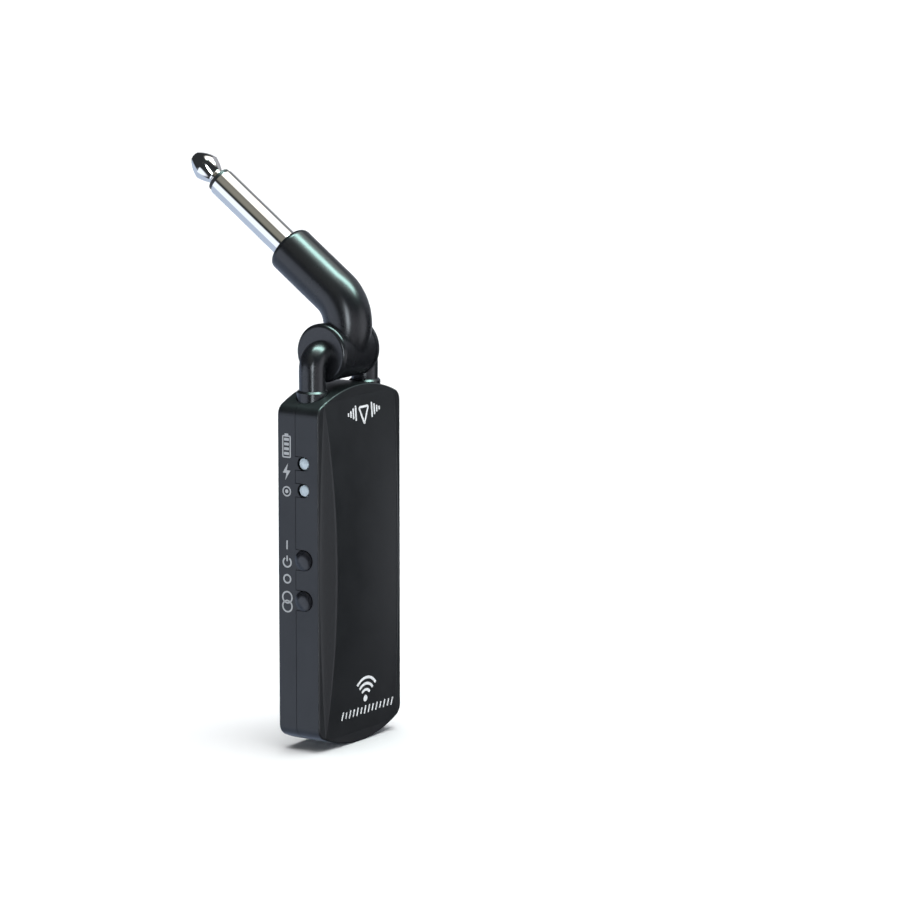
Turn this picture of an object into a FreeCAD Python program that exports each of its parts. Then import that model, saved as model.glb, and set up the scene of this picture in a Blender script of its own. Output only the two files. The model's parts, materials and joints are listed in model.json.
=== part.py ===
import FreeCAD, Part
import math
import os

# Clip-on wireless transmitter for an electric guitar or bass.
# A flat two-shell housing carries a board and a battery. Two hollow elbow posts on
# its top hold a friction hinge, and a curved arm on the hinge ends in a 1/4 inch plug.
# Millimetres. X to the right seen from the front, Y to the back, Z up.
# The origin is the centre of the flat rear face.

os.makedirs("parts", exist_ok=True)
V = FreeCAD.Vector

# ---- Housing outline -------------------------------------------------------
body_width = 32.0          # across the straight sides
body_height = 80.8         # crown to crown
side_depth = 11.1          # rear face to the ledge round the front
crown_radius = 35.0        # arcs that close the top and the bottom
corner_radius = 2.8
front_edge_radius = 0.35
rear_edge_radius = 0.8
wall = 1.6                 # side walls of both shells
front_wall = 1.4
rear_wall = 1.3

# ---- Raised front panel ----------------------------------------------------
panel_end_gap = 2.4        # crown to the point where the panel starts to rise
panel_rise = 2.1           # ridge above the ledge at mid height
foot_inset_mid = 1.0       # ledge width at mid height
ridge_inset_mid = 4.1
end_inset = 2.4            # ledge width where the panel ends
panel_hollow = 0.8         # how far the middle lies below the ridges
panel_buried = 1.0         # how deep the panel reaches into the block
panel_least_swell = 0.005  # share of the full rise at which the panel is cut off
panel_lift = 0.01          # foot of the panel above the ledge
foot_blend = 0.6           # soft corner at the foot, along the ledge
flank_blend = 2.0          # and up the flank
ridge_blend = 0.35
panel_sections = 13
pocket_half_width = 9.0    # thinned space behind the raised panel
pocket_half_height = 26.0
pocket_depth = 1.2

# ---- Parting line ----------------------------------------------------------
seam_from_rear = 5.0
seam_gap = 0.04
groove_width = 0.12
groove_depth = 0.05
lip_thickness = 0.7        # locating lip of the rear shell
lip_height = 1.0
lip_clearance = 0.08
lip_window = 0.4           # room left in the lip round each light and button

# ---- Lights and buttons on the left side -----------------------------------
control_from_rear = 7.15
charge_led_z = 24.5
id_led_z = 18.5
led_hole_radius = 1.6
led_radius = 1.22
led_recess = 0.3           # rim of the lens below the wall
led_proud = 0.25           # dome above the rim of the lens
led_flange_radius = 2.1
led_flange = 0.6
power_button_z = 2.9
pair_button_z = -6.2
button_hole_radius = 2.35
button_radius = 2.2
button_proud = 0.8
button_dome = 0.55
button_travel = 0.4
button_flange_radius = 2.45
button_flange = 0.5
tongue_clearance = 0.14    # each side of the shell tongues
flange_clearance = 0.1     # behind the wall

# ---- Charging socket on the right side -------------------------------------
usb_z = 26.2
usb_from_rear = 2.7
usb_height = 7.5
usb_thickness = 2.5
usb_length = 5.2
usb_wall = 0.3
usb_chamfer = 0.8
usb_set_back = 0.7
usb_clearance = 0.25
usb_tongue_width = 3.8
usb_tongue_thickness = 0.6
usb_tongue_length = 3.6
usb_base_length = 1.2
usb_contact_count = 5
usb_contact_pitch = 0.65
usb_contact_width = 0.35
usb_contact_thickness = 0.1
usb_contact_end = 0.3      # contacts end before the tongue does

# ---- Hinge -----------------------------------------------------------------
hinge_rise = 7.3           # axis above the crown
barrel_radius = 6.4
knuckle_radius = 6.55
knuckle_thickness = 1.55
knuckle_round = 0.9
knuckle_gap = 0.1          # between barrel end and knuckle
post_offset = 10.15        # post centre from the middle
post_radius = 2.95
elbow_radius = 3.05
post_base_radius = 3.5
post_base_rise = 1.1       # base above the housing at the post's centre
post_base_chamfer = 0.4
post_hole_clearance = 0.1
flange_depth_gap = 0.1     # flange to the front and rear walls
flange_side_gap = 0.14     # flange to the side wall
flange_thickness = 1.0
flange_drop = 4.1          # flange below the inside of the crown
rib_thickness = 1.3
rib_clearance = 0.1
rib_half_width = 5.0
axle_radius = 3.0
axle_clearance = 0.05
axle_inner_end = 1.2       # distance from the middle
wire_bore_radius = 1.6
washer_radius = 4.6
washer_thickness = 0.4
washer_clearance = 0.2
washer_wall_clearance = 0.15

# ---- Plug arm --------------------------------------------------------------
arm_radius = 5.4
arm_start_lean = -45.0     # degrees from vertical, positive to the back
plug_lean = 54.0
arm_bend_radius = 8.5
arm_straight = 15.6
mouth_round = 1.3
arm_channel_radius = 2.2
collar_step = 0.8          # collar beyond the shoulder
collar_length = 6.0
collar_depth = 1.6         # front of the collar below the mouth
insert_clearance = 0.04

# ---- Plug ------------------------------------------------------------------
plug_radius = 3.175        # 6.35 mm jack
sleeve_length = 22.5
shoulder_step = 0.225      # shoulder beyond the sleeve, where it passes the mouth wall
sleeve_bore_radius = 1.9
sleeve_chamfer = 0.3
insulator_length = 0.7
insulator_step = 0.275     # ring below the sleeve
inner_wall_clearance = 0.03
rod_radius = 1.1
tip_shoulder_step = 0.45   # shoulder below the sleeve
tip_neck_radius = 1.95
tip_neck_start = 0.8       # after the insulating ring
tip_neck_length = 0.4
tip_bulge_step = 0.025     # bulge below the sleeve
tip_bulge_fullness = 0.8   # radius half way to the point, as a share of the bulge
tip_flare_sag = 0.25
tip_bulge_at = 27.3
tip_nose_radius = 1.2
plug_length = 31.2
rod_tail = 1.5             # rod behind the collar
lug_thickness = 0.4
lug_width = 2.0
lug_length = 2.2
cable_radius = 0.8
cable_bend_share = 0.95    # of the arm's own bend
cable_gap = 0.4            # between the two cable ends at the hinge
cable_board_gap = 0.05
cable_turn_rise = 2.2      # above the board, where the cable turns to it
cable_foot_rise = 0.4
cable_board_length = 4.5   # cable beside the board

# ---- Board and battery -----------------------------------------------------
board_side_gap = 1.1       # board to the side walls
board_bottom = -10.5
board_below_crown = 9.2
board_thickness = 1.0
board_gap = 0.05           # between the socket and the board
standoff_radius = 1.2
standoff_side_gap = 2.3    # standoff centres inside the edge of the board
standoff_end_gap = 2.6
standoff_socket_share = 1 / 3   # the upper right one stands clear of the socket
switch_depth = 2.6
switch_height = 3.6
switch_thickness = 3.4
switch_gap = 1.1           # button flange to switch
plunger_radius = 0.8
plunger_clearance = 0.08
plunger_reach = 0.6        # plunger inside the switch at rest
plunger_bore = 1.4
led_body = 1.4
led_gap = 0.3
led_body_height = 2.4
shield_width = 14.0
shield_height = 13.0
shield_rise = 1.6
shield_z = 15.0
shield_wall = 0.2
chip_rise = 0.9
radio_chip_side = 6.0
audio_chip_side = 5.0
audio_chip_z = 2.0
antenna_place = (8.8, 28.2)
antenna_width = 6.5
antenna_height = 2.2
antenna_rise = 1.2
crystal = (6.5, 3.5, 3.2, 2.5, 0.8)      # x, z, width, height and rise
charger = (-5.2, -5.0, 3.0, 3.0, 0.9)
inductor = (6.5, -4.5, 4.0, 4.0, 1.8)
capacitor_count = 6
capacitor_pitch = 3.2
capacitor_x = 10.8
capacitor_top = 18.0
capacitor_width = 1.6
capacitor_height = 0.8
capacitor_rise = 0.8
battery_width = 19.0
battery_height = 22.5
battery_thickness = 6.5
battery_above_foot = 5.0   # cell above the bottom crown
battery_round = 1.5
pad_thickness = 0.7
pad_width = 13.0
pad_height = 16.0
pad_gap = 0.05
lead_radius = 0.5
lead_spacing = 3.0
lead_bend = 0.9
lead_joint_rise = 2.0      # solder joints above the foot of the board

# ---- Screws ----------------------------------------------------------------
top_screw_drop = 6.1       # upper screw below the crown
low_screw_rise = 9.4       # lower screws above the bottom crown
low_screw_side_gap = 2.4   # lower screws inside the side walls
screw_post_radius = 2.1
screw_radius = 0.95
screw_clearance = 0.2
screw_bite_clearance = 0.02
screw_head_radius = 1.6
screw_head_height = 1.0
screw_head_clearance = 0.15
screw_sink = 0.3           # head below the rear face
screw_reach = 3.2          # screw inside the front shell
recess_width = 0.5
recess_share = 0.62        # cross recess as a share of the head
head_round_share = 0.3     # rounding as a share of the head height
recess_depth = 0.6

# ---- Derived places --------------------------------------------------------
shoulder_radius = plug_radius + shoulder_step
collar_radius = shoulder_radius + collar_step
insulator_radius = plug_radius - insulator_step
tip_shoulder_radius = plug_radius - tip_shoulder_step
tip_bulge_radius = plug_radius - tip_bulge_step
half_width = body_width / 2
half_height = body_height / 2
front_y = -side_depth
seam_y = -seam_from_rear
control_y = -control_from_rear
rear_inside_y = -rear_wall
front_inside_y = front_y + front_wall
inside_x = half_width - wall
hinge_y = front_y / 2
hinge_z = half_height + hinge_rise
crown_centre_z = half_height - crown_radius
knuckle_inside = arm_radius + knuckle_gap
knuckle_outside = knuckle_inside + knuckle_thickness
flange_top = half_height - wall - flange_drop
flange_radius = (side_depth - front_wall - rear_wall) / 2 - flange_depth_gap
flange_reach = inside_x - flange_side_gap
panel_half_height = half_height - panel_end_gap
battery_bottom = battery_above_foot - half_height
board_half_width = inside_x - board_side_gap
board_top = half_height - board_below_crown
standoff_x = board_half_width - standoff_side_gap
standoff_low = board_bottom + standoff_end_gap
standoff_high = board_top - standoff_end_gap
standoff_places = [(-standoff_x, standoff_low), (standoff_x, standoff_low),
                   (-standoff_x, standoff_high), (standoff_x * standoff_socket_share, standoff_high)]
low_screw_x = inside_x - low_screw_side_gap
low_screw_z = low_screw_rise - half_height
screw_places = [(0.0, half_height - top_screw_drop), (-low_screw_x, low_screw_z), (low_screw_x, low_screw_z)]
flange_bottom = flange_top - flange_thickness
board_rear_y = -usb_from_rear - usb_thickness / 2 - board_gap
board_front_y = board_rear_y - board_thickness
button_flange_outside = -inside_x + flange_clearance
button_flange_inside = button_flange_outside + button_flange
switch_face = button_flange_inside + switch_gap
overlap = 0.5              # how far joined solids run into each other
control_holes = [(charge_led_z, led_hole_radius), (id_led_z, led_hole_radius),
                 (power_button_z, button_hole_radius), (pair_button_z, button_hole_radius)]


# ---- Small builders --------------------------------------------------------
def box(x0, x1, y0, y1, z0, z1):
    return Part.makeBox(x1 - x0, y1 - y0, z1 - z0, V(x0, y0, z0))


def rod(radius, start, end):
    return Part.makeCylinder(radius, (end - start).Length, start, end - start)


def ring(outer, inner, start, end):
    return rod(outer, start, end).cut(rod(inner, start, end))


def turned(points):
    """Solid of revolution about Z from (radius, height) points."""
    corners = [V(r, 0, z) for r, z in points]
    face = Part.Face(Part.makePolygon(corners + corners[:1]))
    return face.revolve(V(0, 0, 0), V(0, 0, 1), 360)


def round_path(points, radius):
    """Straight runs joined by tangent arcs of one radius."""
    edges = []
    start = points[0]
    for before, corner, after in zip(points, points[1:], points[2:]):
        back = (before - corner).normalize()
        ahead = (after - corner).normalize()
        half_angle = back.getAngle(ahead) / 2
        trim = radius / math.tan(half_angle)
        inward = (back + ahead).normalize()
        middle = corner + inward * (radius / math.sin(half_angle) - radius)
        first = corner + back * trim
        last = corner + ahead * trim
        edges.append(Part.LineSegment(start, first).toShape())
        edges.append(Part.Arc(first, middle, last).toShape())
        start = last
    edges.append(Part.LineSegment(start, points[-1]).toShape())
    return Part.Wire(edges)


def wire_along(points, radius, bend):
    path = round_path(points, bend)
    ends = Part.Wire(Part.makeCircle(radius, points[0], points[1] - points[0]))
    return path.makePipeShell([ends], True, False)


def sphere_cap(radius, rise, base, axis):
    """Shallow dome on a round base."""
    ball_radius = (radius ** 2 + rise ** 2) / (2 * rise)
    centre = base - axis * (ball_radius - rise)
    return Part.makeSphere(ball_radius, centre).common(rod(radius, base, base + axis * rise))


# ---- Housing block ---------------------------------------------------------
def crown_height(x):
    return crown_centre_z + math.sqrt(crown_radius ** 2 - x ** 2)


def outline(inset, y):
    """Front outline of the housing, moved inwards by inset."""
    side = half_width - inset
    crown = crown_radius - inset
    corner = corner_radius - inset
    corner_x = half_width - corner_radius
    reach = crown_radius - corner_radius
    corner_z = crown_centre_z + math.sqrt(reach ** 2 - corner_x ** 2)
    lean = math.atan2(corner_z - crown_centre_z, corner_x)
    bow = (corner_x + corner * math.cos(lean / 2), corner_z + corner * math.sin(lean / 2))
    shoulder = (crown * math.cos(lean), crown_centre_z + crown * math.sin(lean))
    top = crown_centre_z + crown

    def place(x, z):
        return V(x, y, z)

    edges = []
    for up in (1, -1):
        edges.append(Part.LineSegment(place(up * side, -up * corner_z), place(up * side, up * corner_z)))
        for first, middle, last in (
                ((side, corner_z), bow, shoulder),
                (shoulder, (0, top), (-shoulder[0], shoulder[1])),
                ((-shoulder[0], shoulder[1]), (-bow[0], bow[1]), (-side, corner_z))):
            edges.append(Part.Arc(*(place(up * x, up * z) for x, z in (first, middle, last))))
    return Part.Wire([edge.toShape() for edge in edges])


def prism(inset, y0, y1):
    return Part.Face(outline(inset, y0)).extrude(V(0, y1 - y0, 0))


def bezier(*poles):
    curve = Part.BezierCurve()
    curve.setPoles(list(poles))
    return curve.toShape()


def panel_section(z):
    """Cross-section of the raised panel: two soft ridges with a shallow hollow between."""
    swell = 1 - (z / panel_half_height) ** 2
    rise = panel_rise * swell
    foot_y = front_y - panel_lift
    ridge_x = half_width - end_inset - (ridge_inset_mid - end_inset) * swell
    foot_x = half_width - end_inset + (end_inset - foot_inset_mid) * swell
    flank = V(ridge_x - foot_x, -rise, 0).normalize()
    hollow = V(-ridge_x, 2 * panel_hollow * swell, 0).normalize()
    foot = V(foot_x, foot_y, z)
    ridge = V(ridge_x, foot_y - rise, z)
    ledge_end = foot + V(foot_blend * swell, 0, 0)
    flank_start = foot + flank * (flank_blend * swell)
    flank_end = ridge - flank * (ridge_blend * swell)
    hollow_start = ridge + hollow * (ridge_blend * swell)
    root = V(ledge_end.x, front_y + panel_buried, z)
    middle = V(0, foot_y - rise + 2 * panel_hollow * swell, z)

    def mirrored(point):
        return V(-point.x, point.y, point.z)

    def line(start, end):
        return Part.LineSegment(start, end).toShape()

    left = [mirrored(p) for p in (root, ledge_end, foot, flank_start, flank_end, ridge, hollow_start)]
    return Part.Wire([
        line(left[0], left[1]), bezier(left[1], left[2], left[3]), line(left[3], left[4]),
        bezier(left[4], left[5], left[6]), bezier(left[6], middle, hollow_start),
        bezier(hollow_start, ridge, flank_end), line(flank_end, flank_start),
        bezier(flank_start, foot, ledge_end), line(ledge_end, root), line(root, left[0])])


def raised_panel():
    reach = panel_half_height * math.sqrt(1 - panel_least_swell)
    heights = [reach * (2 * step / (panel_sections - 1) - 1) for step in range(panel_sections)]
    return Part.makeLoft([panel_section(z) for z in heights], True, False)


def outside_edges(shape, y):
    """Edges of the shape that lie whole in one plane across Y."""
    return [e for e in shape.Edges if abs(e.BoundBox.YMin - y) < 1e-6 and abs(e.BoundBox.YMax - y) < 1e-6]


def housing_block():
    block = prism(0, front_y, 0)
    block = block.makeFillet(front_edge_radius, outside_edges(block, front_y))
    block = block.makeFillet(rear_edge_radius, outside_edges(block, 0))
    panel = raised_panel().common(prism(front_edge_radius, 2 * front_y, front_y + panel_buried / 2))
    return block.fuse(panel)


def post_hole(side, radius):
    return rod(radius, V(side * post_offset, hinge_y, flange_bottom - 2 * rib_thickness),
               V(side * post_offset, hinge_y, hinge_z))


def hinge_ribs(y0, y1):
    """Ribs above and below each post flange, clipped to the inside of a shell."""
    inside = prism(wall - overlap / 2, y0, y1)
    ribs = []
    for side in (-1, 1):
        middle = side * post_offset
        for low in (flange_bottom - rib_clearance - rib_thickness, flange_top + rib_clearance):
            rib = box(middle - rib_half_width, middle + rib_half_width, y0, y1, low, low + rib_thickness)
            ribs.append(rib.common(inside))
    return ribs


def cut_post_holes(shell):
    for side in (-1, 1):
        shell = shell.cut(post_hole(side, post_base_radius + post_hole_clearance))
    return shell


def control_slot(z, radius):
    """Slot in the front shell from the parting line to the hole."""
    near = V(-half_width - overlap, control_y, z)
    hole = rod(radius, near, V(-inside_x + overlap, control_y, z))
    return hole.fuse(box(-half_width - overlap, -inside_x + overlap,
                         control_y, seam_y + overlap, z - radius, z + radius))


def seam_groove():
    """Fine groove where the shells meet, left out across the tongues."""
    low = seam_y - groove_width / 2
    high = seam_y + groove_width / 2
    groove = prism(-overlap, low, high).cut(prism(groove_depth, low, high))
    for z, radius in control_holes:
        groove = groove.cut(box(-half_width - overlap, -inside_x, low, high, z - radius, z + radius))
    return groove


def front_cover(block, groove):
    shell = block.common(box(-body_width, body_width, 2 * front_y, seam_y - seam_gap / 2,
                             -body_height, body_height))
    shell = shell.cut(prism(wall, front_inside_y, 0))
    shell = shell.cut(box(-pocket_half_width, pocket_half_width, front_inside_y - pocket_depth,
                          front_inside_y + overlap, -pocket_half_height, pocket_half_height))
    posts = [rod(screw_post_radius, V(x, front_inside_y - overlap, z), V(x, seam_y - seam_gap, z))
             for x, z in screw_places]
    shell = shell.fuse(posts + hinge_ribs(front_inside_y - overlap, seam_y - seam_gap / 2))
    shell = cut_post_holes(shell)
    for x, z in screw_places:
        shell = shell.cut(rod(screw_radius + screw_bite_clearance,
                              V(x, seam_y, z), V(x, seam_y - screw_reach - overlap, z)))
    for z, radius in control_holes:
        shell = shell.cut(control_slot(z, radius))
    return shell.cut(groove).removeSplitter()


def rear_cover(block, groove):
    shell = block.common(box(-body_width, body_width, seam_y + seam_gap / 2, overlap,
                             -body_height, body_height))
    shell = shell.cut(prism(wall, 2 * front_y, rear_inside_y))
    joined = [rod(screw_post_radius, V(x, rear_inside_y + overlap / 2, z), V(x, seam_y + seam_gap, z))
              for x, z in screw_places]
    joined += [rod(standoff_radius, V(x, rear_inside_y + overlap / 2, z), V(x, board_rear_y, z))
               for x, z in standoff_places]
    joined += hinge_ribs(seam_y + seam_gap / 2, rear_inside_y + overlap / 2)
    for z, radius in control_holes:
        half = radius - tongue_clearance
        joined.append(box(-half_width, -inside_x, control_y, seam_y + overlap, z - half, z + half))
    shell = shell.fuse(joined)
    shell = shell.fuse(locating_lip())
    for z, radius in control_holes:
        outside = V(-half_width - overlap, control_y, z)
        shell = shell.cut(rod(radius, outside, V(-inside_x + overlap, control_y, z)))
    shell = cut_post_holes(shell)
    for x, z in screw_places:
        shell = shell.cut(rod(screw_radius + screw_clearance, V(x, overlap, z), V(x, seam_y - overlap, z)))
        shell = shell.cut(rod(screw_head_radius + screw_head_clearance, V(x, overlap, z),
                              V(x, -screw_sink - screw_head_height, z)))
    shell = shell.cut(usb_opening())
    return shell.cut(groove).removeSplitter()


def locating_lip():
    """Lip inside the front shell, open at the controls and the posts."""
    outer = wall + lip_clearance
    top = seam_y - lip_height
    root = seam_y + 2 * overlap
    lip = prism(outer, top, root).cut(prism(outer + lip_thickness, top, root))
    bridge = prism(wall - overlap / 2, seam_y + seam_gap / 2, root)
    bridge = bridge.cut(prism(outer + lip_thickness, seam_y + seam_gap / 2, root))
    lip = lip.fuse(bridge)
    for z, radius in control_holes:
        reach = radius + lip_window
        lip = lip.cut(box(-half_width, -inside_x + 2 * wall, 2 * front_y, root, z - reach, z + reach))
    for x, z in screw_places:
        lip = lip.cut(rod(screw_post_radius + lip_window, V(x, 2 * front_y, z),
                          V(x, seam_y + seam_gap / 2, z)))
    for side in (-1, 1):
        middle = side * post_offset
        lip = lip.cut(box(middle - rib_half_width - lip_window, middle + rib_half_width + lip_window,
                          2 * front_y, root, flange_bottom - 2 * rib_thickness, body_height))
    return lip


def usb_outline(grow, x0, x1, chamfer):
    """Socket outline: two chamfered corners on the board side."""
    half_z = usb_height / 2 + grow
    rear = -usb_from_rear + usb_thickness / 2 + grow
    front = -usb_from_rear - usb_thickness / 2 - grow
    corners = [(rear, -half_z), (rear, half_z), (front + chamfer, half_z), (front, half_z - chamfer),
               (front, chamfer - half_z), (front + chamfer, -half_z)]
    points = [V(x0, y, usb_z + z) for y, z in corners]
    return Part.Face(Part.makePolygon(points + points[:1])).extrude(V(x1 - x0, 0, 0))


def usb_opening():
    return usb_outline(usb_clearance, inside_x - overlap, half_width + overlap, usb_chamfer)


# ---- Cover screws ----------------------------------------------------------
def cover_screw(x, z):
    seat = -screw_sink - screw_head_height
    head = rod(screw_head_radius, V(x, seat, z), V(x, -screw_sink, z))
    shank = rod(screw_radius, V(x, seat, z), V(x, seam_y - screw_reach, z))
    recess_half = screw_head_radius * recess_share
    low = -screw_sink - recess_depth
    half = recess_width / 2
    cross = box(x - recess_half, x + recess_half, low, 0, z - half, z + half)
    cross = cross.fuse(box(x - half, x + half, low, 0, z - recess_half, z + recess_half))
    rim = [e for e in head.Edges
           if abs(e.BoundBox.YMin + screw_sink) < 1e-6 and e.BoundBox.XLength > screw_radius]
    head = head.makeFillet(head_round_share * screw_head_height, rim)
    return head.fuse(shank).cut(cross).removeSplitter()


# ---- Hinge -----------------------------------------------------------------
def hinge_arm(side):
    post_x = side * post_offset
    base_top = crown_height(post_offset) + post_base_rise
    base = rod(post_base_radius, V(post_x, hinge_y, flange_bottom), V(post_x, hinge_y, base_top))
    rim = [e for e in base.Edges if e.BoundBox.ZMin > base_top - 1e-6]
    base = base.makeChamfer(post_base_chamfer, rim)
    flange = rod(flange_radius, V(post_x, hinge_y, flange_bottom), V(post_x, hinge_y, flange_top))
    flange = flange.common(box(-flange_reach, flange_reach, -side_depth, 0, flange_bottom, flange_top))
    knuckle = rod(knuckle_radius, V(side * knuckle_inside, hinge_y, hinge_z),
                  V(side * knuckle_outside, hinge_y, hinge_z))
    rim = [e for e in knuckle.Edges if abs(e.BoundBox.XMin - side * knuckle_outside) < 1e-6
           and e.BoundBox.XLength < 1e-6]
    knuckle = knuckle.makeFillet(knuckle_round, rim)
    axle = rod(axle_radius, V(side * (knuckle_inside + overlap), hinge_y, hinge_z),
               V(side * axle_inner_end, hinge_y, hinge_z))
    corner = V(post_x, hinge_y, hinge_z)
    elbow_end = V(side * (knuckle_inside + 2 * overlap), hinge_y, hinge_z)
    elbow = wire_along([V(post_x, hinge_y, flange_bottom), corner, elbow_end], post_radius, elbow_radius)
    bore = wire_along([V(post_x, hinge_y, flange_bottom - overlap), corner, V(0, hinge_y, hinge_z)],
                      wire_bore_radius, elbow_radius)
    arm = elbow.fuse(base.fuse(flange)).fuse(knuckle.fuse(axle))
    return arm.cut(bore)


def friction_washer(side):
    inner = axle_radius + axle_clearance
    return ring(washer_radius, inner, V(side * knuckle_inside, hinge_y, hinge_z),
                V(side * (knuckle_inside - washer_thickness), hinge_y, hinge_z))


# ---- Plug arm --------------------------------------------------------------
def heading(lean):
    angle = math.radians(lean)
    return V(0, math.sin(angle), math.cos(angle))


hinge_centre = V(0, hinge_y, hinge_z)
start_heading = heading(arm_start_lean)
bend_centre = hinge_centre + V(0, start_heading.z, -start_heading.y) * arm_bend_radius
plug_heading = heading(plug_lean)
straight_start = bend_centre - V(0, plug_heading.z, -plug_heading.y) * arm_bend_radius
mouth_centre = straight_start + plug_heading * arm_straight
plug_place = FreeCAD.Placement(mouth_centre, FreeCAD.Rotation(V(1, 0, 0), -plug_lean))


def arm_tube(radius):
    """Round bar from the hinge axis round the bend and along to the mouth."""
    angle = math.radians((arm_start_lean + plug_lean) / 2)
    bend_middle = bend_centre - V(0, math.cos(angle), -math.sin(angle)) * arm_bend_radius
    path = Part.Wire([Part.Arc(hinge_centre, bend_middle, straight_start).toShape(),
                      Part.LineSegment(straight_start, mouth_centre).toShape()])
    end = Part.Wire(Part.makeCircle(radius, hinge_centre, start_heading))
    return path.makePipeShell([end], True, False)


def plug_arm():
    barrel = rod(barrel_radius, hinge_centre - V(arm_radius, 0, 0), hinge_centre + V(arm_radius, 0, 0))
    tube = arm_tube(arm_radius)
    rim = [e for e in tube.Edges if (e.CenterOfMass - mouth_centre).Length < 1e-3]
    tube = tube.makeFillet(mouth_round, rim)
    arm = tube.fuse(barrel)
    hinge_bore = axle_radius + axle_clearance
    arm = arm.cut(rod(hinge_bore, hinge_centre - V(body_width, 0, 0), hinge_centre + V(body_width, 0, 0)))
    counterbore = washer_thickness + washer_clearance - knuckle_gap
    for side in (-1, 1):
        arm = arm.cut(rod(washer_radius + washer_wall_clearance, hinge_centre + V(side * body_width, 0, 0),
                          hinge_centre + V(side * (arm_radius - counterbore), 0, 0)))
    arm = arm.cut(arm_tube(arm_channel_radius))
    collar_front = mouth_centre - plug_heading * (collar_depth - insert_clearance)
    collar_rear = collar_front - plug_heading * (collar_length + rod_tail + lug_length)
    past_mouth = mouth_centre + plug_heading * overlap
    arm = arm.cut(rod(collar_radius + insert_clearance, collar_rear, collar_front))
    return arm.cut(rod(shoulder_radius + insert_clearance, collar_rear, past_mouth))


# ---- Plug ------------------------------------------------------------------
collar_start = -collar_depth - collar_length
insulator_end = sleeve_length + insulator_length


def jack_sleeve():
    shape = turned([
        (sleeve_bore_radius, collar_start), (collar_radius, collar_start), (collar_radius, -collar_depth),
        (shoulder_radius, -collar_depth), (shoulder_radius, 0), (plug_radius, 0),
        (plug_radius, sleeve_length - sleeve_chamfer),
        (plug_radius - sleeve_chamfer, sleeve_length), (sleeve_bore_radius, sleeve_length)])
    shape.Placement = plug_place
    return shape


def jack_inner_insulator():
    outer = sleeve_bore_radius - inner_wall_clearance
    inner = rod_radius + inner_wall_clearance
    shape = turned([(inner, collar_start), (outer, collar_start),
                    (outer, sleeve_length), (inner, sleeve_length)])
    shape.Placement = plug_place
    return shape


def jack_insulator_ring():
    inner = rod_radius + inner_wall_clearance
    shape = turned([(inner, sleeve_length), (insulator_radius, sleeve_length),
                    (insulator_radius, insulator_end), (inner, insulator_end)])
    shape.Placement = plug_place
    return shape


def jack_tip():
    """Rod, short cone to the neck, flare to the bulge and a rounded point."""
    neck = insulator_end + tip_neck_start
    neck_end = neck + tip_neck_length
    nose_rise = plug_length - tip_bulge_at

    def at(radius, height):
        return V(radius, 0, height)

    nose_start = at(tip_bulge_radius, tip_bulge_at)
    nose_end = at(tip_nose_radius, plug_length)
    nose_middle = at(tip_bulge_radius * tip_bulge_fullness, tip_bulge_at + nose_rise / 2)
    flare_middle = at((tip_neck_radius + tip_bulge_radius) / 2,
                      (neck_end + tip_bulge_at) / 2 - tip_flare_sag)
    lines = [at(0, plug_length), at(0, collar_start - rod_tail), at(rod_radius, collar_start - rod_tail),
             at(rod_radius, insulator_end), at(tip_shoulder_radius, insulator_end),
             at(tip_neck_radius, neck), at(tip_neck_radius, neck_end)]
    edges = [Part.LineSegment(a, b).toShape() for a, b in zip(lines, lines[1:])]
    edges.append(Part.Arc(lines[-1], flare_middle, nose_start).toShape())
    edges.append(Part.Arc(nose_start, nose_middle, nose_end).toShape())
    edges.append(Part.LineSegment(nose_end, lines[0]).toShape())
    shape = Part.Face(Part.Wire(edges)).revolve(V(0, 0, 0), V(0, 0, 1), 360)
    shape.Placement = plug_place
    return shape


def jack_tip_lug():
    top = collar_start - rod_tail
    shape = box(-lug_width / 2, lug_width / 2, -lug_thickness / 2, lug_thickness / 2, top - lug_length, top)
    shape.Placement = plug_place
    return shape


def jack_sleeve_lug():
    low = collar_start - lug_length
    outside = collar_radius - lug_thickness
    shape = box(-lug_width / 2, lug_width / 2, outside - lug_thickness, outside, low, collar_start)
    shape.Placement = plug_place
    return shape


def arm_cable():
    """Cable from the lug down the channel to the hinge axis."""
    lug_foot = mouth_centre + plug_heading * (collar_start - rod_tail - lug_length)
    start = lug_foot - plug_heading * insert_clearance
    half_turn = math.radians((plug_lean - arm_start_lean) / 2)
    corner = hinge_centre + start_heading * (arm_bend_radius * math.tan(half_turn))
    return wire_along([start, corner, hinge_centre], cable_radius, cable_bend_share * arm_bend_radius)


def housing_cable():
    """Cable from the hinge through the left elbow to the board."""
    foot_y = board_front_y - cable_radius - cable_board_gap
    points = [hinge_centre - V(axle_inner_end + cable_gap, 0, 0),
              V(-post_offset, hinge_y, hinge_z),
              V(-post_offset, hinge_y, board_top + cable_turn_rise),
              V(-post_offset, foot_y, board_top + cable_foot_rise),
              V(-post_offset, foot_y, board_top - cable_board_length)]
    return wire_along(points, cable_radius, elbow_radius)


# ---- Controls --------------------------------------------------------------
def button(z):
    outside = -half_width - button_proud + button_dome
    face = V(outside, control_y, z)
    cap = rod(button_radius, face, V(button_flange_inside, control_y, z))
    dome = sphere_cap(button_radius, button_dome, face, V(-1, 0, 0))
    flange = rod(button_flange_radius, V(button_flange_outside, control_y, z),
                 V(button_flange_inside, control_y, z))
    return cap.fuse([dome, flange]).removeSplitter()


def plunger(z):
    return rod(plunger_radius, V(button_flange_inside, control_y, z),
               V(switch_face + plunger_reach, control_y, z))


def switch_body(z):
    top = control_y - switch_thickness / 2
    half = switch_height / 2
    body = box(switch_face, switch_face + switch_depth, top, board_front_y, z - half, z + half)
    bore = rod(plunger_radius + plunger_clearance, V(switch_face - overlap, control_y, z),
               V(switch_face + plunger_bore, control_y, z))
    return body.cut(bore)


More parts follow.
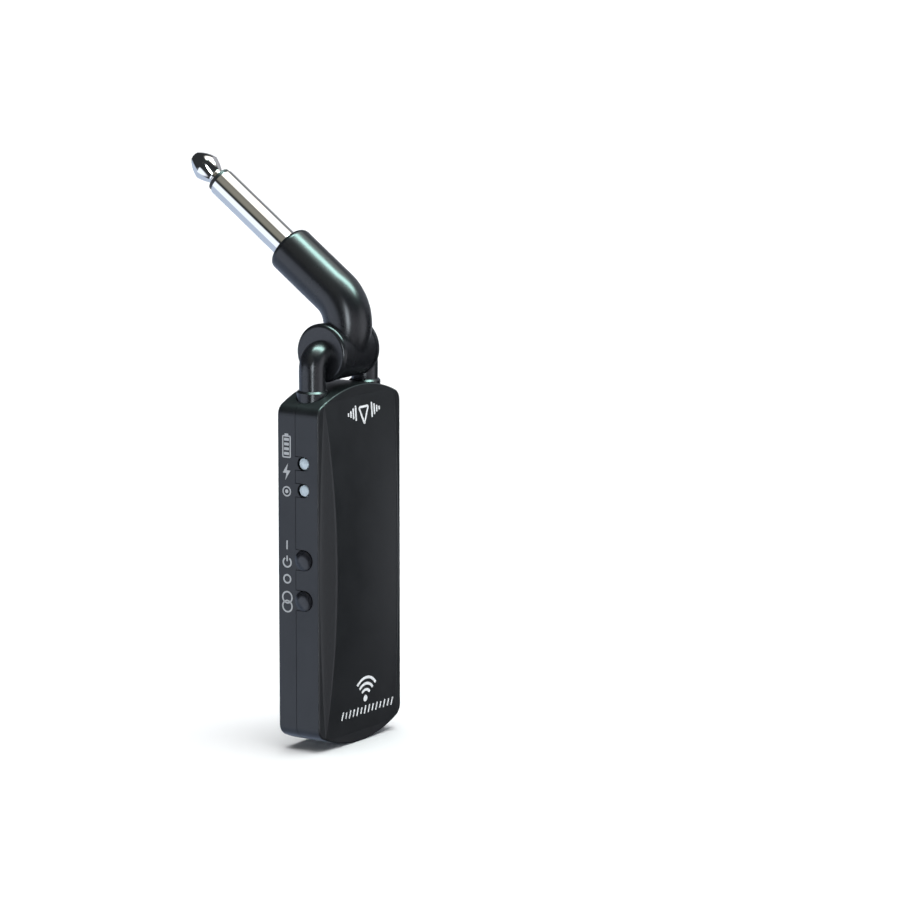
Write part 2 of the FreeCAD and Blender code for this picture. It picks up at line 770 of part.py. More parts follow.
def led_lens(z):
    face = V(led_recess - half_width, control_y, z)
    flange_outside = -inside_x + flange_clearance
    flange_inside = flange_outside + led_flange
    lens = rod(led_radius, face, V(flange_inside, control_y, z))
    dome = sphere_cap(led_radius, led_proud, face, V(-1, 0, 0))
    flange = rod(led_flange_radius, V(flange_outside, control_y, z), V(flange_inside, control_y, z))
    return lens.fuse([dome, flange]).removeSplitter()


def led_emitter(z):
    near = -inside_x + flange_clearance + led_flange + led_gap
    half = led_body_height / 2
    return box(near, near + led_body, control_y - led_body / 2, board_front_y, z - half, z + half)


# ---- Charging socket -------------------------------------------------------
usb_mouth_x = half_width - usb_set_back
usb_back_x = usb_mouth_x - usb_length


def usb_socket_shell():
    outer = usb_outline(0, usb_back_x, usb_mouth_x, usb_chamfer)
    inner = usb_outline(-usb_wall, usb_back_x + usb_wall, usb_mouth_x + overlap, usb_chamfer)
    return outer.cut(inner)


def usb_tongue():
    base_x = usb_back_x + usb_wall
    base = usb_outline(-usb_wall - insert_clearance, base_x, base_x + usb_base_length, usb_chamfer)
    half = usb_tongue_width / 2
    thick = usb_tongue_thickness / 2
    blade = box(base_x, base_x + usb_tongue_length, -usb_from_rear - thick, -usb_from_rear + thick,
                usb_z - half, usb_z + half)
    return base.fuse(blade).removeSplitter()


def usb_contacts():
    start = usb_back_x + usb_wall + usb_base_length
    end = usb_back_x + usb_wall + usb_tongue_length - usb_contact_end
    face_y = -usb_from_rear + usb_tongue_thickness / 2
    contacts = []
    for step in range(usb_contact_count):
        z = usb_z + (step - (usb_contact_count - 1) / 2) * usb_contact_pitch
        contacts.append(box(start, end, face_y, face_y + usb_contact_thickness,
                            z - usb_contact_width / 2, z + usb_contact_width / 2))
    return Part.makeCompound(contacts)


# ---- Board -----------------------------------------------------------------
def main_board():
    return box(-board_half_width, board_half_width, board_front_y, board_rear_y, board_bottom, board_top)


def on_board(x, z, width, height, rise):
    return box(x - width / 2, x + width / 2, board_front_y - rise, board_front_y,
               z - height / 2, z + height / 2)


def rf_shield_can():
    can = on_board(0, shield_z, shield_width, shield_height, shield_rise)
    inside = on_board(0, shield_z, shield_width - 2 * shield_wall, shield_height - 2 * shield_wall,
                      shield_rise - shield_wall)
    return can.cut(inside)


def radio_chip():
    return on_board(0, shield_z, radio_chip_side, radio_chip_side, chip_rise)


def audio_chip():
    return on_board(0, audio_chip_z, audio_chip_side, audio_chip_side, chip_rise)


def chip_antenna():
    return on_board(*antenna_place, antenna_width, antenna_height, antenna_rise)


def board_components():
    """Crystal, charger, inductor and a column of capacitors."""
    pieces = [on_board(*crystal), on_board(*charger), on_board(*inductor)]
    for step in range(capacitor_count):
        z = capacitor_top - capacitor_pitch * step
        pieces.append(on_board(capacitor_x, z, capacitor_width, capacitor_height, capacitor_rise))
    return Part.makeCompound(pieces)


# ---- Battery ---------------------------------------------------------------
battery_rear_y = rear_inside_y - pad_thickness - 2 * pad_gap
battery_front_y = battery_rear_y - battery_thickness
battery_top = battery_bottom + battery_height


def battery_cell():
    half = battery_width / 2
    cell = box(-half, half, battery_front_y, battery_rear_y, battery_bottom, battery_top)
    long_edges = [e for e in cell.Edges if e.BoundBox.ZLength > battery_height - 1e-6]
    return cell.makeFillet(battery_round, long_edges)


def battery_pad():
    rear = rear_inside_y - pad_gap
    middle = (battery_bottom + battery_top) / 2
    return box(-pad_width / 2, pad_width / 2, rear - pad_thickness, rear, middle - pad_height / 2,
               middle + pad_height / 2)


def battery_leads():
    leads = []
    lead_y = board_front_y - lead_radius - 2 * lead_bend
    for side in (-1, 1):
        x = side * lead_spacing / 2
        joint_z = board_bottom + lead_joint_rise
        points = [V(x, lead_y, battery_top), V(x, lead_y, joint_z), V(x, board_front_y, joint_z)]
        leads.append(wire_along(points, lead_radius, lead_bend))
    return Part.makeCompound(leads)


# ---- Nodes -----------------------------------------------------------------
block = housing_block()
groove = seam_groove()
left_hinge_arm = hinge_arm(-1)
nodes = {
    "front_cover": front_cover(block, groove),
    "rear_cover": rear_cover(block, groove),
    "cover_screws": Part.makeCompound([cover_screw(x, z) for x, z in screw_places]),
    "left_hinge_arm": left_hinge_arm,
    "right_hinge_arm": left_hinge_arm.mirror(V(0, 0, 0), V(1, 0, 0)),
    "left_friction_washer": friction_washer(-1),
    "right_friction_washer": friction_washer(1),
    "plug_arm": plug_arm(),
    "jack_sleeve": jack_sleeve(),
    "jack_inner_insulator": jack_inner_insulator(),
    "jack_insulator_ring": jack_insulator_ring(),
    "jack_tip": jack_tip(),
    "jack_tip_lug": jack_tip_lug(),
    "jack_sleeve_lug": jack_sleeve_lug(),
    "arm_cable": arm_cable(),
    "housing_cable": housing_cable(),
    "power_button": button(power_button_z),
    "pair_button": button(pair_button_z),
    "power_plunger": plunger(power_button_z),
    "pair_plunger": plunger(pair_button_z),
    "power_switch": switch_body(power_button_z),
    "pair_switch": switch_body(pair_button_z),
    "charge_led_lens": led_lens(charge_led_z),
    "id_led_lens": led_lens(id_led_z),
    "charge_led": led_emitter(charge_led_z),
    "id_led": led_emitter(id_led_z),
    "usb_socket_shell": usb_socket_shell(),
    "usb_tongue": usb_tongue(),
    "usb_contacts": usb_contacts(),
    "main_board": main_board(),
    "rf_shield_can": rf_shield_can(),
    "radio_chip": radio_chip(),
    "audio_chip": audio_chip(),
    "chip_antenna": chip_antenna(),
    "board_components": board_components(),
    "battery": battery_cell(),
    "battery_pad": battery_pad(),
    "battery_leads": battery_leads(),
}
for name, shape in nodes.items():
    shape.exportStep("parts/" + name + ".step")
    print(name, shape.isValid(), len(shape.Solids), round(shape.Volume, 1))
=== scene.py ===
import json
import math

import bpy
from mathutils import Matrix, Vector

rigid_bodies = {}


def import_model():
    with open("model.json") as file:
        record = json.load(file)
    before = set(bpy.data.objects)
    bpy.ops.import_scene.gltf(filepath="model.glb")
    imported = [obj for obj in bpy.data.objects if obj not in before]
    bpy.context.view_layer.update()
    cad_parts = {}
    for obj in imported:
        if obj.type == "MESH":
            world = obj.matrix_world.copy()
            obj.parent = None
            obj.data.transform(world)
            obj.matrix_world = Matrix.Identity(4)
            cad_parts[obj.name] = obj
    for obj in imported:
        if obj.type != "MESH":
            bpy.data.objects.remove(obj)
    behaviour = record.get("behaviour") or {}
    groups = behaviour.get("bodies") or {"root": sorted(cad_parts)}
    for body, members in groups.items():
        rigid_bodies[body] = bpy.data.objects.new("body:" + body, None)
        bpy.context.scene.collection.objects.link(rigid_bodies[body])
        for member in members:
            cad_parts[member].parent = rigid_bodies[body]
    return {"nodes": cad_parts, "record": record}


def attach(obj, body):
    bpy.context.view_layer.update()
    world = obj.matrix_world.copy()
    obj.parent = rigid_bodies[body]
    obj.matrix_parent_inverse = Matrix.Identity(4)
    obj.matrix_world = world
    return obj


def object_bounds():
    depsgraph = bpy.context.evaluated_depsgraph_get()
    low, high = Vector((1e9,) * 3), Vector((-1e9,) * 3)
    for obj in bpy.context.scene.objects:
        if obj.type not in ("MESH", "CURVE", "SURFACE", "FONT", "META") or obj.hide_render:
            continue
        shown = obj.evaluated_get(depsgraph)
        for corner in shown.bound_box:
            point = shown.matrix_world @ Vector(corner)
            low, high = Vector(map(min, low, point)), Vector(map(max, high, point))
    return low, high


# Plug-in wireless guitar transmitter: finishes, printed marks, floor, lights and camera.
# Metres in the part's own frame, with X to the right, Y to the back and Z up. Angles are in degrees.

for leftover in list(bpy.data.objects):
    bpy.data.objects.remove(leftover)
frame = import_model()
cad_box = [list(corner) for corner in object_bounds()]
cad_nodes = frame["nodes"]
MM = 0.001

# ---- Camera, with its azimuth counted from straight before the front, and negative to the left ----
VIEW_AZIMUTH = -56.4
VIEW_ELEVATION = 10.1
CAMERA_DISTANCE = 1.1477
CAMERA_LENS_MM = 200
SENSOR_MM = 36
VIEW_CENTRE = Vector((44.6, -5.5, 18.5)) * MM

# ---- Floor and lights ----
FLOOR_SIZE = 12.0
DAYLIGHT = 2.5
CEILING_SPREAD = 70
LIGHT_CENTRE = Vector((0, -5, 30)) * MM
TOP_STRIP_TOWARDS = Vector((0.16, -0.278, 0.956)).normalized()
TOP_STRIP_DISTANCE = 0.8
TOP_STRIP_WIDTH = 0.22
TOP_STRIP_LENGTH = 0.9
TOP_STRIP_WATTS = 19.0
TOP_STRIP_COLOUR = "#b9e6df"

# ---- Printed marks, in millimetres: where their middles lie, and how they are drawn ----
FRONT_MARK_X = 1.3
EMBLEM_Z = 34.0
SIGNAL_Z = -28.4
DASH_ROW_Z = -33.4
SIDE_MARK_Y = -2.67
CHARGE_Z = 28.0
TARGET_Z = 18.0
POWER_Z = 2.1
LINK_Z = -6.8
PRINT_THICKNESS = 0.03
PRINT_STAND_OFF = 5.0      # from the outermost face to where a mark starts, before it is laid on
RING_STEPS = 64            # sides of a drawn round
BAR_CORNER = 0.12
BAR_CORNER_STEPS = 4
OUTLINE_CORNER_STEPS = 8

# ---- Surface detail, in millimetres ----
ABS_GRAIN = 0.28           # pits of a spark-eroded mould, near 0.06 in life, drawn coarser to show
SATIN_RIPPLE = 8.0         # slow waves that a smooth mould leaves on a thick piece
TURNING_LINES = 0.12       # feed marks of a lathe, near 0.03 in life, drawn coarser to show
TURNING_DEPTH = 0.0006
SCUFF = 1.5                # patches where the nickel is duller
PLUG_LEAN = 54.0           # degrees from upright to the back, at rest
RING_STRETCH = 0.02        # squeeze across the plug that draws a noise out into rings round it

# Most of a noise lies between these two values.
NOISE_LOW = 0.3
NOISE_HIGH = 0.7

# Sockets that go by number, because a node has several of one name.
MIX_FACTOR = 0
MIX_FROM = 6
MIX_TO = 7
MIX_COLOUR = 2
FIRST_VECTOR = 0
SECOND_VECTOR = 1


# ---- Materials ----
def linear(code):
    """sRGB hex colour as linear red, green, blue and alpha."""
    channels = [int(code[i:i + 2], 16) / 255 for i in (1, 3, 5)]
    return tuple(c / 12.92 if c <= 0.04045 else ((c + 0.055) / 1.055) ** 2.4 for c in channels) + (1.0,)


def add(tree, kind, settings=None, inputs=None):
    """Adds one node. An input given as a socket is linked, and any other is its value."""
    node = tree.nodes.new(kind)
    for name, value in (settings or {}).items():
        setattr(node, name, value)
    for name, value in (inputs or {}).items():
        if isinstance(value, bpy.types.NodeSocket):
            tree.links.new(value, node.inputs[name])
        else:
            node.inputs[name].default_value = value
    return node


def new_material(name):
    """Empty material and its node tree."""
    material = bpy.data.materials.new(name)
    material.use_nodes = True
    material.node_tree.nodes.clear()
    return material, material.node_tree


def surface(tree, **inputs):
    """Principled surface, with its inputs named as keywords."""
    named = {name.replace("_", " "): value for name, value in inputs.items()}
    shader = add(tree, "ShaderNodeBsdfPrincipled", inputs=named)
    add(tree, "ShaderNodeOutputMaterial", inputs={"Surface": shader.outputs["BSDF"]})


def patterned(name, dark, light, tone_mm, rough, bump_mm, bump_depth_mm, **extra):
    """Surface with clouds of colour and roughness, tone_mm across, and a relief of bumps, bump_mm across."""
    material, tree = new_material(name)
    place = add(tree, "ShaderNodeTexCoord").outputs["Object"]
    tone = add(tree, "ShaderNodeTexNoise", inputs={
        "Vector": place, "Scale": 1 / (tone_mm * MM), "Detail": 3.0}).outputs["Fac"]
    fine = add(tree, "ShaderNodeTexNoise", inputs={
        "Vector": place, "Scale": 1 / (bump_mm * MM), "Detail": 2.0}).outputs["Fac"]
    colour = add(tree, "ShaderNodeMix", {"data_type": "RGBA"}, {
        MIX_FACTOR: tone, MIX_FROM: linear(dark), MIX_TO: linear(light)})
    roughness = add(tree, "ShaderNodeMapRange", inputs={
        "Value": tone, "From Min": NOISE_LOW, "From Max": NOISE_HIGH, "To Min": rough[0], "To Max": rough[1]})
    relief = add(tree, "ShaderNodeBump", inputs={"Height": fine, "Distance": bump_depth_mm * MM})
    surface(tree, Base_Color=colour.outputs[MIX_COLOUR], Roughness=roughness.outputs["Result"],
            Normal=relief.outputs["Normal"], **extra)
    return material


def polished_nickel():
    """Nickel plate on turned brass: a mirror with faint rings round the axis of the plug."""
    material, tree = new_material("nickel_plate_polished")
    place = add(tree, "ShaderNodeTexCoord").outputs["Object"]
    along_plug = add(tree, "ShaderNodeMapping", {"vector_type": "POINT"}, {
        "Vector": place, "Rotation": (math.radians(PLUG_LEAN), 0, 0)}).outputs["Vector"]
    rings_only = add(tree, "ShaderNodeMapping", {"vector_type": "POINT"}, {
        "Vector": along_plug, "Scale": (RING_STRETCH, RING_STRETCH, 1.0)}).outputs["Vector"]
    rings = add(tree, "ShaderNodeTexNoise", inputs={
        "Vector": rings_only, "Scale": 1 / (TURNING_LINES * MM), "Detail": 2.0}).outputs["Fac"]
    scuffs = add(tree, "ShaderNodeTexNoise", inputs={
        "Vector": place, "Scale": 1 / (SCUFF * MM), "Detail": 4.0}).outputs["Fac"]
    roughness = add(tree, "ShaderNodeMapRange", inputs={
        "Value": scuffs, "From Min": 0.4, "From Max": 0.75, "To Min": 0.04, "To Max": 0.11})
    relief = add(tree, "ShaderNodeBump", inputs={"Height": rings, "Distance": TURNING_DEPTH * MM})
    surface(tree, Base_Color=linear("#e9e6df"), Metallic=1.0, Roughness=roughness.outputs["Result"],
            Normal=relief.outputs["Normal"])
    return material


# Finish of each material slot. The real grain of the metals, resins, cable jacket, insulator and ceramic
# is too fine to show, so it is drawn at 0.15 to 0.3 mm.
NODE_FINISH = {
    # Black ABS from a spark-eroded mould: a dull black with a fine even grain.
    "shell_plastic": patterned(
        "abs_black_spark_eroded", "#0f1113", "#141518", tone_mm=6.0, rough=(0.36, 0.43),
        bump_mm=ABS_GRAIN, bump_depth_mm=0.006, IOR=1.53),
    # Black glass-filled nylon from a smooth mould: satin, with slow ripples in its highlights.
    "hinge_plastic": patterned(
        "nylon_black_satin", "#141518", "#17181b", tone_mm=SATIN_RIPPLE, rough=(0.25, 0.28),
        bump_mm=SATIN_RIPPLE / 2, bump_depth_mm=0.0006, IOR=1.53),
    # Black ABS from a polished mould: a bright highlight on the dome.
    "button_plastic": patterned(
        "abs_black_button", "#15161a", "#1b1c20", tone_mm=3.0, rough=(0.17, 0.21),
        bump_mm=0.8, bump_depth_mm=0.0003, IOR=1.53),
    # Nickel plate: the one mirror on the part.
    "nickel": polished_nickel(),
    # Black nylon, turned or moulded: thin dull breaks between bright metal.
    "insulator": patterned(
        "nylon_black_turned", "#0c0c0d", "#151516", tone_mm=0.8, rough=(0.4, 0.5),
        bump_mm=0.2, bump_depth_mm=0.002, IOR=1.53),
    # Frosted acrylic light guide: milky and pale, with a thin gloss over it.
    "diffuser": patterned(
        "acrylic_frosted", "#a3b2bd", "#b9c6ce", tone_mm=1.0, rough=(0.22, 0.32),
        bump_mm=0.2, bump_depth_mm=0.001, IOR=1.49, Coat_Weight=0.6, Coat_Roughness=0.08),
    # Steel screws under black zinc: a dark metal with soft highlights.
    "screw_steel": patterned(
        "steel_black_zinc", "#2a2b2e", "#3a3b3f", tone_mm=2.0, rough=(0.32, 0.42),
        bump_mm=0.3, bump_depth_mm=0.001, Metallic=1.0),
    # Rolled spring steel: plain grey with a soft shine.
    "spring_steel": patterned(
        "spring_steel_rolled", "#8d8f92", "#a6a8aa", tone_mm=2.0, rough=(0.25, 0.35),
        bump_mm=0.2, bump_depth_mm=0.001, Metallic=1.0),
    # Tin-plated steel: paler than the spring steel, and slightly clouded.
    "plated_steel": patterned(
        "steel_tin_plated", "#b9bbbd", "#d0d1d2", tone_mm=2.0, rough=(0.22, 0.34),
        bump_mm=0.25, bump_depth_mm=0.001, Metallic=1.0),
    # Stamped brass: warm yellow lugs and contacts.
    "tinned_brass": patterned(
        "brass_stamped", "#b58f4a", "#cfac66", tone_mm=2.0, rough=(0.22, 0.32),
        bump_mm=0.2, bump_depth_mm=0.001, Metallic=1.0),
    # Extruded black PVC: a soft black with a broad faint highlight along the cable.
    "cable_jacket": patterned(
        "pvc_black_jacket", "#161616", "#202020", tone_mm=1.5, rough=(0.42, 0.52),
        bump_mm=0.3, bump_depth_mm=0.003, IOR=1.53),
    # Green solder mask over glass laminate: deep green under a thin gloss.
    "board_laminate": patterned(
        "solder_mask_green", "#0d4a26", "#156235", tone_mm=2.5, rough=(0.25, 0.35),
        bump_mm=0.3, bump_depth_mm=0.003, IOR=1.55, Coat_Weight=0.3),
    # Moulded black epoxy: chips and switches that stay matt on the glossy board.
    "chip_resin": patterned(
        "epoxy_resin_moulded", "#18181a", "#232326", tone_mm=0.8, rough=(0.45, 0.55),
        bump_mm=0.15, bump_depth_mm=0.002, IOR=1.55),
    # Clear resin over phosphor: pale yellow with a sharp highlight.
    "led_resin": patterned(
        "led_resin_clear", "#d9cf9a", "#ece4b8", tone_mm=0.5, rough=(0.15, 0.22),
        bump_mm=0.2, bump_depth_mm=0.001, IOR=1.52),
    # Fired ceramic: off-white and matt.
    "antenna_ceramic": patterned(
        "ceramic_fired", "#cfcfc8", "#deded8", tone_mm=0.8, rough=(0.4, 0.5),
        bump_mm=0.15, bump_depth_mm=0.002, IOR=1.6),
    # Aluminium foil pouch: a soft silver with shallow dimples.
    "cell_pouch": patterned(
        "aluminium_pouch_laminate", "#a4a7ab", "#bfc2c6", tone_mm=2.0, rough=(0.3, 0.42),
        bump_mm=1.2, bump_depth_mm=0.004, Metallic=1.0),
    # Closed-cell foam: a rough dark grey with no highlight.
    "foam_pad": patterned(
        "foam_closed_cell", "#1c1c1d", "#2a2a2b", tone_mm=0.5, rough=(0.8, 0.9),
        bump_mm=0.3, bump_depth_mm=0.05, IOR=1.45),
}
for part in frame["record"]["subparts"]:
    skin = cad_nodes[part["node"]].data.materials
    skin.clear()
    skin.append(NODE_FINISH[part["material_slot"]])

# Pad-printed inks: flat films with the grain of the shell under them, white on the front and a quieter
# grey on the side.
WHITE_INK = patterned(
    "ink_white_pad_printed", "#d8dadc", "#eceded", tone_mm=0.8, rough=(0.5, 0.62),
    bump_mm=ABS_GRAIN, bump_depth_mm=0.003, IOR=1.5)
GREY_INK = patterned(
    "ink_grey_pad_printed", "#9c9fa3", "#b4b6b9", tone_mm=0.8, rough=(0.5, 0.62),
    bump_mm=ABS_GRAIN, bump_depth_mm=0.003, IOR=1.5)


# ---- Flat marks, drawn in millimetres in the XZ plane, facing -Y ----
FACING_FRONT = (math.pi / 2, 0, 0)


def pick(piece, kind, elements, wanted):
    """Selects the vertices or faces that pass the test, and leaves the piece in edit mode."""
    bpy.ops.object.mode_set(mode="EDIT")
    bpy.ops.mesh.select_mode(type=kind)
    bpy.ops.mesh.select_all(action="DESELECT")
    bpy.ops.object.mode_set(mode="OBJECT")
    for element in elements:
        element.select = wanted(element)
    bpy.ops.object.mode_set(mode="EDIT")


def settle(piece, x, z, turn=0.0):
    """Turns the piece in its plane, clockwise in degrees, and moves it to x and z."""
    bpy.ops.object.mode_set(mode="OBJECT")
    piece.rotation_euler = (0, math.radians(turn), 0)
    piece.location = (x, 0, z)
    bpy.ops.object.transform_apply()
    return piece


def start_flat(corners, width, height):
    """Filled polygon with that many corners, stretched to a width and height."""
    bpy.ops.object.select_all(action="DESELECT")
    if corners == 4:
        bpy.ops.mesh.primitive_plane_add(size=1, rotation=FACING_FRONT)
    else:
        bpy.ops.mesh.primitive_circle_add(vertices=corners, radius=0.5, fill_type="NGON",
                                          rotation=FACING_FRONT)
    piece = bpy.context.object
    bpy.ops.object.transform_apply()
    piece.dimensions = (width, 0, height)
    bpy.ops.object.transform_apply()
    return piece


def bar(x, z, width, height, turn=0.0):
    """Filled bar with rounded corners."""
    piece = start_flat(4, width, height)
    bpy.ops.object.mode_set(mode="EDIT")
    bpy.ops.mesh.select_all(action="SELECT")
    bpy.ops.mesh.bevel(affect="VERTICES", offset=BAR_CORNER, segments=BAR_CORNER_STEPS)
    return settle(piece, x, z, turn)


def outline(corners, x, z, width, height, corner, stroke, turn=0.0):
    """Outline of a rounded polygon."""
    piece = start_flat(corners, width, height)
    bpy.ops.object.mode_set(mode="EDIT")
    bpy.ops.mesh.select_all(action="SELECT")
    bpy.ops.mesh.bevel(affect="VERTICES", offset=corner, segments=OUTLINE_CORNER_STEPS)
    bpy.ops.mesh.inset(thickness=stroke)
    bpy.ops.mesh.delete(type="FACE")
    return settle(piece, x, z, turn)


def disc(x, z, radius):
    """Filled round."""
    return settle(start_flat(RING_STEPS, 2 * radius, 2 * radius), x, z)


def ring(x, z, radius, stroke, start=0.0, sweep=360.0):
    """Band round a centre, from the start angle over the sweep, in degrees from +X towards +Z."""
    bpy.ops.object.select_all(action="DESELECT")
    inner = radius - stroke / 2
    half_step = 180 / RING_STEPS
    bpy.ops.mesh.primitive_circle_add(vertices=RING_STEPS, radius=inner, rotation=FACING_FRONT)
    piece = bpy.context.object
    bpy.ops.object.transform_apply()

    def in_gap(vertex):
        angle = math.degrees(math.atan2(vertex.co.z, vertex.co.x))
        return (angle - start + half_step) % 360 > sweep + half_step

    if sweep < 360:
        pick(piece, "VERT", piece.data.vertices, in_gap)
        bpy.ops.mesh.delete(type="VERT")
    bpy.ops.object.mode_set(mode="EDIT")
    bpy.ops.mesh.select_all(action="SELECT")
    bpy.ops.mesh.extrude_edges_move()
    bpy.ops.transform.resize(value=(1 + stroke / inner,) * 3, center_override=(0, 0, 0))
    return settle(piece, x, z)


def bolt(x, z, width, height):
    """Filled lightning bolt: six corners, the lower three a half turn of the upper three."""
    piece = start_flat(6, width, height)
    upper = [(0.18, 0.5), (-0.5, -0.08), (-0.02, -0.08)]
    corners = upper + [(-side, -up) for side, up in upper]
    for vertex, (side, up) in zip(piece.data.vertices, corners):
        vertex.co = (side * width, 0, up * height)
    return settle(piece, x, z)


def print_on(name, pieces, node, ink, place, turn, axis):
    """Joins the flat pieces, turns and moves them before a face, and lays them on it as a film of ink."""
    bpy.ops.object.select_all(action="DESELECT")
    for piece in pieces:
        piece.select_set(True)
    mark = pieces[0]
    bpy.context.view_layer.objects.active = mark
    bpy.ops.object.join()
    mark.name = name
    mark.data.name = name
    pick(mark, "FACE", mark.data.polygons, lambda face: face.normal.y > 0)
    bpy.ops.mesh.flip_normals()
    bpy.ops.object.mode_set(mode="OBJECT")
    mark.scale = (MM, MM, MM)
    mark.rotation_euler = (0, 0, math.radians(turn))
    mark.location = place
    bpy.ops.object.transform_apply()
    wrap = mark.modifiers.new("lay_on_face", "SHRINKWRAP")
    wrap.target = cad_nodes[node]
    wrap.wrap_method = "PROJECT"
    wrap.use_project_x = axis == "x"
    wrap.use_project_y = axis == "y"
    wrap.use_project_z = False
    bpy.ops.object.modifier_apply(modifier=wrap.name)
    film = mark.modifiers.new("film", "SOLIDIFY")
    film.thickness = PRINT_THICKNESS * MM
    film.offset = 1.0
    bpy.ops.object.modifier_apply(modifier=film.name)
    mark.data.materials.clear()
    mark.data.materials.append(ink)
    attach(mark, "housing")


# ---- Marks on the front ----
def emblem():
    """Plectrum outline between bars that fall away to each side, as a level meter does."""
    pieces = [outline(3, 0, 0, width=4.4, height=4.6, corner=0.9, stroke=0.5, turn=180)]
    nearest = 3.1
    pitch = 0.95
    bar_z = 0.2
    for side in (-1, 1):
        for step, height in enumerate((3.4, 2.4, 1.5, 0.8)):
            pieces.append(bar(side * (nearest + pitch * step), bar_z, width=0.5, height=height))
    return pieces


def signal():
    """Dot with three arcs over it."""
    dot_z = -2.4
    pieces = [disc(0, dot_z, radius=0.75)]
    for radius in (2.0, 3.4, 4.8):
        pieces.append(ring(0, dot_z, radius, stroke=0.62, start=42, sweep=96))
    return pieces


def dashes():
    """Row of short slanted dashes of uneven length."""
    first = -8.8
    pitch = 1.48
    lengths = (1.9, 1.5, 1.9, 1.7, 1.9, 1.5, 1.9, 1.9, 1.6, 1.9, 1.5, 1.9, 1.7, 1.9)
    return [bar(first + pitch * i, 0, width=0.42, height=length, turn=14) for i, length in enumerate(lengths)]


# ---- Marks on the left side ----
def charge_mark():
    """Battery outline with a terminal and four level bars, over a lightning bolt."""
    pieces = [outline(4, 0, 0, width=2.3, height=5.0, corner=0.35, stroke=0.3)]
    pieces.append(bar(0, 2.7, width=1.0, height=0.4))
    lowest = -1.55
    pitch = 1.05
    pieces += [bar(0, lowest + pitch * i, width=1.3, height=0.62) for i in range(4)]
    pieces.append(bolt(0, -5.6, width=2.1, height=3.8))
    return pieces


def target_mark():
    """Dot in a ring."""
    return [ring(0, 0, radius=1.0, stroke=0.3), disc(0, 0, radius=0.42)]


def power_mark():
    """Bar over an open ring with a bar in its gap, over a closed ring."""
    stroke = 0.36
    return [
        bar(0, 3.9, width=stroke, height=2.0),
        ring(0, 0, radius=1.05, stroke=stroke, start=122, sweep=296),
        bar(0, 0.85, width=stroke, height=1.3),
        ring(0, -3.75, radius=0.9, stroke=stroke),
    ]


def link_mark():
    """Two rings that overlap, one over the other."""
    return [ring(0, z, radius=1.25, stroke=0.34) for z in (1.0, -1.0)]


front_y = cad_box[0][1] - PRINT_STAND_OFF * MM
front_marks = (
    ("front_emblem", emblem(), EMBLEM_Z),
    ("front_signal_mark", signal(), SIGNAL_Z),
    ("front_dash_row", dashes(), DASH_ROW_Z),
)
for name, pieces, z in front_marks:
    print_on(name, pieces, "front_cover", WHITE_INK, (FRONT_MARK_X * MM, front_y, z * MM), 0, "y")

left_x = cad_box[0][0] - PRINT_STAND_OFF * MM
left_marks = (
    ("charge_mark", charge_mark(), CHARGE_Z),
    ("target_mark", target_mark(), TARGET_Z),
    ("power_mark", power_mark(), POWER_Z),
    ("link_mark", link_mark(), LINK_Z),
)
for name, pieces, z in left_marks:
    print_on(name, pieces, "rear_cover", GREY_INK, (left_x, SIDE_MARK_Y * MM, z * MM), -90, "x")


# ---- Floor ----
bpy.ops.object.select_all(action="DESELECT")
bpy.ops.mesh.primitive_plane_add(size=FLOOR_SIZE, location=(0, 0, cad_box[0][2]))
floor = bpy.context.object
floor.name = "floor"
# White paper: a matt sheet with a faint tooth, drawn coarser than life.
floor.data.materials.append(patterned(
    "paper_sweep_white", "#f1f2f3", "#f6f7f7", tone_mm=400.0, rough=(0.8, 0.9),
    bump_mm=3.0, bump_depth_mm=0.01, IOR=1.4))
# Gloss doesn't show the floor, which would whiten the front and the plug from below.
floor.visible_glossy = False


# ---- Lights ----
def new_lamp(name, kind, energy):
    """Lamp of a kind and an energy, at the origin."""
    data = bpy.data.lights.new(name, kind)
    data.energy = energy
    lamp = bpy.data.objects.new(name, data)
    bpy.context.scene.collection.objects.link(lamp)
    return lamp


# Long soft box over the part that only gloss shows: it draws the line down the bent arm.
top_strip = new_lamp("top_strip", "AREA", TOP_STRIP_WATTS)
top_strip.data.shape = "RECTANGLE"
top_strip.data.size = TOP_STRIP_WIDTH
top_strip.data.size_y = TOP_STRIP_LENGTH
top_strip.data.color = linear(TOP_STRIP_COLOUR)[:3]
top_strip.location = LIGHT_CENTRE + TOP_STRIP_TOWARDS * TOP_STRIP_DISTANCE
top_strip.rotation_euler = TOP_STRIP_TOWARDS.to_track_quat("Z", "Y").to_euler()
top_strip.visible_diffuse = False

# Light from straight above that gloss doesn't show: it whitens the floor and softens the shadow.
ceiling = new_lamp("ceiling", "SUN", DAYLIGHT)
ceiling.data.angle = math.radians(CEILING_SPREAD)
ceiling.visible_glossy = False

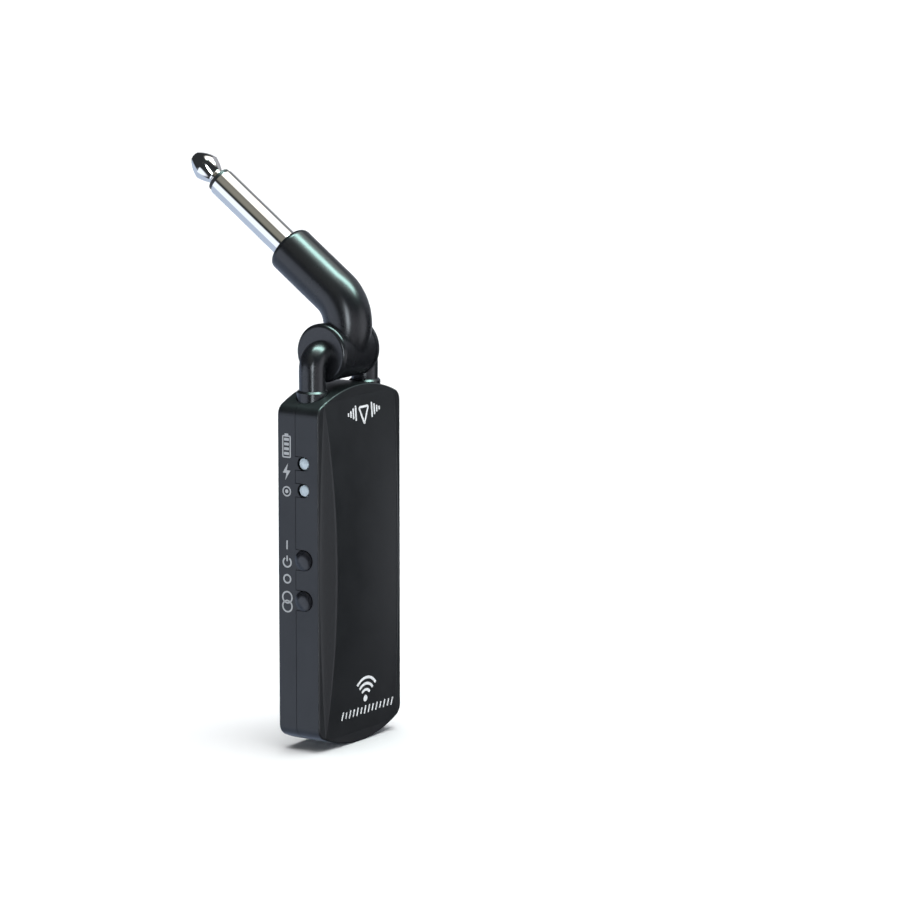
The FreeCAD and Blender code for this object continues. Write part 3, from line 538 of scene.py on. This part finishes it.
# Room round the part: a dim surround with large soft cards. Each card has a direction, the angle from
# it at which the card starts to fade and the angle at which it is gone, a stretch upwards, and a colour
# and level.
SURROUND = "#33363a"
CARDS = (
    ((-0.80, 0.48, -0.34), 26, 36, 1, "#d6e0f2", 1.7),     # low on the left, for the long side
    ((0.05, 0.80, -0.60), 36, 44, 1, "#c2d3f0", 1.0),      # low and cool behind, for the plug
    ((-0.70, -0.05, 0.70), 10, 30, 1, "#c4c4bc", 0.5),     # high on the left
    ((0.24, -0.26, 0.93), 30, 38, 1, "#ffffff", 1.6),      # overhead
    ((0.36, -0.93, -0.12), 10, 31, 1, "#c8cad2", 2.0),     # before the front, to its right
    ((0.85, -0.35, 0.45), 8, 30, 1, "#b8bcc8", 1.0),       # on the right, for the bent arm
    ((0.92, 0.35, 0.05), 15, 35, 1, "#c8ccd6", 0.8),       # behind on the right
    ((-0.33, -0.93, -0.18), 12, 30, 1, "#c8c9d2", 1.2),    # before the front, to its left
    ((-0.79, -0.59, 0.05), 3, 8, 3, "#e8f2fa", 14.0),      # tall strip, for the hinge arms and the bend
)
world = bpy.data.worlds.new("studio")
bpy.context.scene.world = world
world.use_nodes = True
room = world.node_tree
room.nodes.clear()
outward = add(room, "ShaderNodeTexCoord").outputs["Generated"]
glow = linear(SURROUND)
for direction, full, gone, stretch, colour, level in CARDS:
    flatter = Vector((1, 1, 1 / stretch))
    squeezed = add(room, "ShaderNodeVectorMath", {"operation": "MULTIPLY"}, {
        FIRST_VECTOR: outward, SECOND_VECTOR: flatter})
    unit = add(room, "ShaderNodeVectorMath", {"operation": "NORMALIZE"}, {
        FIRST_VECTOR: squeezed.outputs["Vector"]})
    nearness = add(room, "ShaderNodeVectorMath", {"operation": "DOT_PRODUCT"}, {
        FIRST_VECTOR: unit.outputs["Vector"],
        SECOND_VECTOR: (Vector(direction) * flatter).normalized()}).outputs["Value"]
    share = add(room, "ShaderNodeMapRange", {"interpolation_type": "SMOOTHSTEP"}, {
        "Value": nearness, "From Min": math.cos(math.radians(gone)),
        "From Max": math.cos(math.radians(full))})
    card = tuple(level * c for c in linear(colour)[:3]) + (1.0,)
    glow = add(room, "ShaderNodeMix", {"data_type": "RGBA"}, {
        MIX_FACTOR: share.outputs["Result"], MIX_FROM: glow, MIX_TO: card}).outputs[MIX_COLOUR]
sky = add(room, "ShaderNodeBackground", inputs={"Color": glow})
add(room, "ShaderNodeOutputWorld", inputs={"Surface": sky.outputs["Background"]})

# ---- Camera ----
azimuth = math.radians(VIEW_AZIMUTH)
elevation = math.radians(VIEW_ELEVATION)
towards_camera = Vector((
    math.sin(azimuth) * math.cos(elevation), -math.cos(azimuth) * math.cos(elevation), math.sin(elevation)))
lens = bpy.data.cameras.new("camera")
lens.lens = CAMERA_LENS_MM
lens.sensor_width = SENSOR_MM
camera = bpy.data.objects.new("camera", lens)
bpy.context.scene.collection.objects.link(camera)
camera.location = VIEW_CENTRE + towards_camera * CAMERA_DISTANCE
camera.rotation_euler = towards_camera.to_track_quat("Z", "Y").to_euler()
bpy.context.scene.camera = camera
bpy.context.scene.view_settings.view_transform = "Standard"
